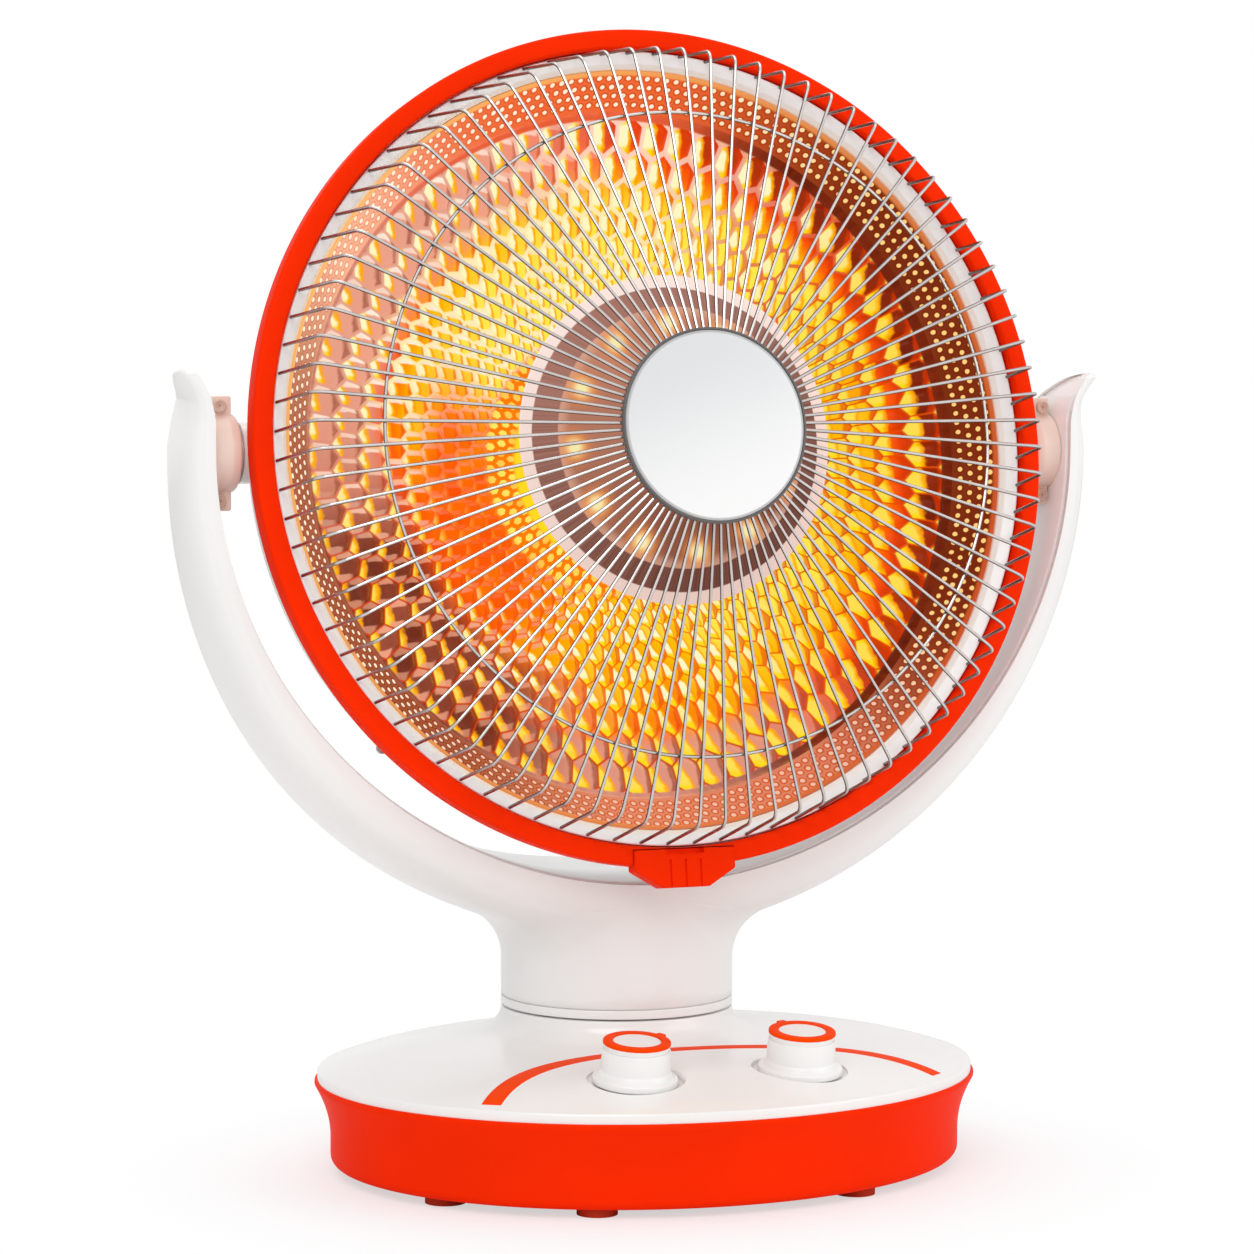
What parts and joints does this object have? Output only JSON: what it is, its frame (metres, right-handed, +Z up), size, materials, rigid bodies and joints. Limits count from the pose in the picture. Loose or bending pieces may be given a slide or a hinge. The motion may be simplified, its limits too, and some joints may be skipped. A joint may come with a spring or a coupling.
{
  "type": "parabolic heater",
  "caption": "Tilting parabolic reflector heater behind a wire guard, in a two-armed yoke that swivels on an oval base with two rotary knobs.",
  "frame": {"origin": "middle of the oval base, on the plane that the rubber feet stand on", "axes": "+Z up, -Y the way the head faces, +X to the viewer's right when facing the heater"},
  "size_m": [0.4028, 0.231, 0.4623],
  "materials": {
    "white_plastic": "glossy moulded plastic, warm white",
    "orange_plastic": "satin moulded plastic, red orange",
    "orange_rubber": "soft rubber, dark orange",
    "black_plastic": "moulded plastic, black",
    "satin_cap": "satin white enamel",
    "chrome_wire": "bright plated wire",
    "zinc_steel": "zinc plated steel",
    "polished_metal": "polished, dimpled, mirror-like",
    "dark_shade": "dark brown heat-proof enamel",
    "ceramic": "unglazed insulating ceramic",
    "glowing_wire": "resistance wire, glowing",
    "iron": "rough casting"
  },
  "bodies": {
    "base": {"base_tray": "orange_plastic", "base_cover": "white_plastic", "stripe_inlay": "orange_plastic", "base_weight": "iron", "rubber_feet": "orange_rubber", "base_screws": "zinc_steel", "heat_switch": "black_plastic", "timer": "black_plastic", "switch_nuts": "zinc_steel", "cord_gland": "black_plastic", "tip_switch": "black_plastic", "swing_motor": "zinc_steel", "motor_screws": "zinc_steel", "slip_washer": "black_plastic"},
    "plunger": {"tip_plunger": "white_plastic"},
    "pinion": {"motor_pinion": "white_plastic"},
    "left_knob": {"knob_left": "white_plastic", "knob_left_ring": "orange_plastic"},
    "right_knob": {"knob_right": "white_plastic", "knob_right_ring": "orange_plastic"},
    "yoke": {"yoke_shell": "white_plastic", "yoke_inner_cover": "white_plastic", "neck_column": "white_plastic", "spindle": "white_plastic", "swivel_trim": "white_plastic", "swing_gear": "white_plastic", "gear_screws": "zinc_steel", "pivot_block_left": "white_plastic", "pivot_block_right": "white_plastic", "block_screws": "zinc_steel", "friction_washers": "zinc_steel"},
    "head": {"pivot_hubs": "white_plastic", "pivot_pins": "zinc_steel", "rear_housing": "white_plastic", "housing_screws": "zinc_steel", "reflector": "polished_metal", "front_ring": "orange_plastic", "latch_pin": "zinc_steel", "guard_wires": "chrome_wire", "guard_hoop": "chrome_wire", "guard_hub": "zinc_steel", "hub_cap": "satin_cap", "cap_rim": "black_plastic", "shade": "dark_shade", "shade_nut": "zinc_steel", "ceramic_core": "ceramic", "heating_coil": "glowing_wire", "element_socket": "ceramic", "terminals": "zinc_steel"},
    "latch": {"ring_latch": "orange_plastic"}
  },
  "joints": [
    {"name": "neck_swivel", "type": "hinge", "parent": "base", "child": "yoke", "pos_m": [0, 0.0345, 0.0605], "axis": [0, 0, 1], "range_deg": [-30, 30]},
    {"name": "pinion_spin", "type": "hinge", "parent": "base", "child": "pinion", "pos_m": [0, -0.01375, 0.0345], "axis": [0, 0, 1], "range_deg": [-90, 90]},
    {"name": "head_tilt", "type": "hinge", "parent": "yoke", "child": "head", "pos_m": [0, 0.008, 0.2911], "axis": [1, 0, 0], "range_deg": [-20, 3.5]},
    {"name": "latch_open", "type": "hinge", "parent": "head", "child": "latch", "pos_m": [0, -0.02794, 0.12298], "axis": [1, 0, 0], "range_deg": [0, 55]},
    {"name": "left_knob_turn", "type": "hinge", "parent": "base", "child": "left_knob", "pos_m": [-0.035, -0.076, 0.04977], "axis": [0, -0.1219, 0.9925], "range_deg": [-60, 210]},
    {"name": "right_knob_turn", "type": "hinge", "parent": "base", "child": "right_knob", "pos_m": [0.035, -0.076, 0.04977], "axis": [0, -0.1219, 0.9925], "range_deg": [-270, 0]},
    {"name": "plunger_travel", "type": "slide", "parent": "base", "child": "plunger", "axis": [0, 0, 1], "range_m": [-0.003, 0], "stiffness_N_per_m": 60, "springref_m": -0.004}
  ],
  "couplings": [
    {"joint": "pinion_spin", "follows": "neck_swivel", "ratio": -3}
  ]
}
